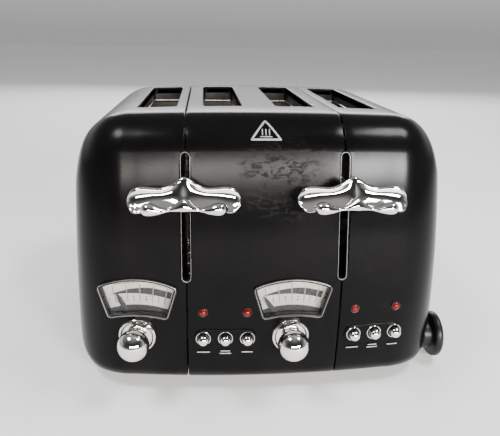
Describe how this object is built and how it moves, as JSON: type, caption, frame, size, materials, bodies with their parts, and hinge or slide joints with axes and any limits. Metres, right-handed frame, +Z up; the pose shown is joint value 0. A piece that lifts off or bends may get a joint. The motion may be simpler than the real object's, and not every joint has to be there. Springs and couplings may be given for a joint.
{
  "type": "pop up toaster",
  "caption": "Free-standing toaster with long bread slots in its top, paired front levers, browning gauges, ball knobs and push buttons.",
  "frame": {"origin": "on the ground under the middle of the whole object, which the disc on the right side and the knobs in front move a little off the middle of the casing", "axes": "+Z up, -Y out of the front with the levers, +X to the right seen from the front"},
  "size_m": [0.2993, 0.3143, 0.2083],
  "materials": {
    "shell": "satin black, softly textured",
    "black_plastic": "satin moulded black",
    "chrome": "polished",
    "steel_sheet": "plain rolled sheet",
    "steel_wire": "bright wire",
    "mica": "mottled mica",
    "heater_ribbon": "heat-tinted ribbon",
    "rubber": "matt",
    "dial_print": "printed plastic",
    "lens": "clear",
    "pointer": "matt dark grey",
    "lamp_red": "clear red moulding",
    "circuit": "solder-masked board",
    "coil": "enamelled winding",
    "tray_metal": "satin",
    "badge": "printed silver"
  },
  "bodies": {
    "casing": {"base_pan": "steel_sheet", "shell_left": "shell", "shell_centre_front": "shell", "shell_centre_top": "shell", "shell_centre_rear": "shell", "shell_right": "shell", "front_plate": "steel_sheet", "rear_plate": "steel_sheet", "side_reflectors": "steel_sheet", "centre_divider": "steel_sheet", "slot_liners": "steel_sheet", "heater_cards": "mica", "heater_wires": "heater_ribbon", "feet": "rubber", "base_screws": "steel_wire", "slot_bezel_left": "chrome", "slot_bezel_right": "chrome", "gauge_bezel_left": "black_plastic", "gauge_bezel_right": "black_plastic", "gauge_dial_left": "dial_print", "gauge_dial_right": "dial_print", "gauge_lens_left": "lens", "gauge_lens_right": "lens", "knob_collars": "chrome", "button_plates": "black_plastic", "button_rings": "chrome", "lamps": "lamp_red", "control_boards": "circuit", "electromagnets": "coil", "guide_rods": "steel_wire", "lift_spring_left": "steel_wire", "lift_spring_right": "steel_wire", "cord_gland": "black_plastic", "side_disc": "black_plastic", "top_badge": "badge"},
    "lever_left": {"lever_left": "chrome", "carriage_left": "steel_sheet", "bread_rack_1": "steel_wire", "bread_rack_2": "steel_wire"},
    "lever_right": {"lever_right": "chrome", "carriage_right": "steel_sheet", "bread_rack_3": "steel_wire", "bread_rack_4": "steel_wire"},
    "guides_left_a": {"bread_guides_left_a": "steel_wire"},
    "guides_left_b": {"bread_guides_left_b": "steel_wire"},
    "guides_right_a": {"bread_guides_right_a": "steel_wire"},
    "guides_right_b": {"bread_guides_right_b": "steel_wire"},
    "knob_left": {"knob_left": "chrome", "gauge_pointer_left": "pointer"},
    "knob_right": {"knob_right": "chrome", "gauge_pointer_right": "pointer"},
    "tray_left": {"crumb_tray_left": "tray_metal"},
    "tray_right": {"crumb_tray_right": "tray_metal"},
    "button_defrost_left": {"button_defrost_left": "chrome"},
    "button_defrost_right": {"button_defrost_right": "chrome"},
    "button_cancel_left": {"button_cancel_left": "chrome"},
    "button_cancel_right": {"button_cancel_right": "chrome"},
    "button_reheat_left": {"button_reheat_left": "chrome"},
    "button_reheat_right": {"button_reheat_right": "chrome"}
  },
  "joints": [
    {"name": "lever_left_slide", "type": "slide", "parent": "casing", "child": "lever_left", "axis": [0, 0, 1], "range_m": [-0.06, 0.014], "stiffness_N_per_m": 90, "springref_m": 0.03, "deforming": ["lift_spring_left"]},
    {"name": "guides_left_a_slide", "type": "slide", "parent": "casing", "child": "guides_left_a", "axis": [1, 0, 0], "range_m": [-0.001, 0.0041]},
    {"name": "guides_left_b_slide", "type": "slide", "parent": "casing", "child": "guides_left_b", "axis": [-1, 0, 0], "range_m": [-0.001, 0.0041]},
    {"name": "lever_right_slide", "type": "slide", "parent": "casing", "child": "lever_right", "axis": [0, 0, 1], "range_m": [-0.06, 0.014], "stiffness_N_per_m": 90, "springref_m": 0.03, "deforming": ["lift_spring_right"]},
    {"name": "guides_right_a_slide", "type": "slide", "parent": "casing", "child": "guides_right_a", "axis": [1, 0, 0], "range_m": [-0.001, 0.0041]},
    {"name": "guides_right_b_slide", "type": "slide", "parent": "casing", "child": "guides_right_b", "axis": [-1, 0, 0], "range_m": [-0.001, 0.0041]},
    {"name": "knob_left_turn", "type": "hinge", "parent": "casing", "child": "knob_left", "pos_m": [-0.0985, -0.12669, 0.0492], "axis": [0.1111, 0.9938, 0], "range_deg": [-9, 63]},
    {"name": "knob_right_turn", "type": "hinge", "parent": "casing", "child": "knob_right", "pos_m": [0.0145, -0.13166, 0.0492], "axis": [-0.0238, 0.9997, 0], "range_deg": [-2, 70]},
    {"name": "button_defrost_left_press", "type": "slide", "parent": "casing", "child": "button_defrost_left", "axis": [0.0342, 0.9994, 0], "range_m": [0, 0.002], "stiffness_N_per_m": 300, "springref_m": -0.003},
    {"name": "button_cancel_left_press", "type": "slide", "parent": "casing", "child": "button_cancel_left", "axis": [0.0342, 0.9994, 0], "range_m": [0, 0.002], "stiffness_N_per_m": 300, "springref_m": -0.003},
    {"name": "button_reheat_left_press", "type": "slide", "parent": "casing", "child": "button_reheat_left", "axis": [0.0342, 0.9994, 0], "range_m": [0, 0.002], "stiffness_N_per_m": 300, "springref_m": -0.003},
    {"name": "button_defrost_right_press", "type": "slide", "parent": "casing", "child": "button_defrost_right", "axis": [-0.1009, 0.9949, 0], "range_m": [0, 0.002], "stiffness_N_per_m": 300, "springref_m": -0.003},
    {"name": "button_cancel_right_press", "type": "slide", "parent": "casing", "child": "button_cancel_right", "axis": [-0.1009, 0.9949, 0], "range_m": [0, 0.002], "stiffness_N_per_m": 300, "springref_m": -0.003},
    {"name": "button_reheat_right_press", "type": "slide", "parent": "casing", "child": "button_reheat_right", "axis": [-0.1009, 0.9949, 0], "range_m": [0, 0.002], "stiffness_N_per_m": 300, "springref_m": -0.003},
    {"name": "tray_left_slide", "type": "slide", "parent": "casing", "child": "tray_left", "axis": [0, 1, 0], "range_m": [0, 0.19]},
    {"name": "tray_right_slide", "type": "slide", "parent": "casing", "child": "tray_right", "axis": [0, 1, 0], "range_m": [0, 0.19]}
  ],
  "couplings": [
    {"joint": "guides_left_a_slide", "follows": "lever_left_slide", "ratio": -0.06667},
    {"joint": "guides_left_b_slide", "follows": "lever_left_slide", "ratio": -0.06667},
    {"joint": "guides_right_a_slide", "follows": "lever_right_slide", "ratio": -0.06667},
    {"joint": "guides_right_b_slide", "follows": "lever_right_slide", "ratio": -0.06667}
  ]
}
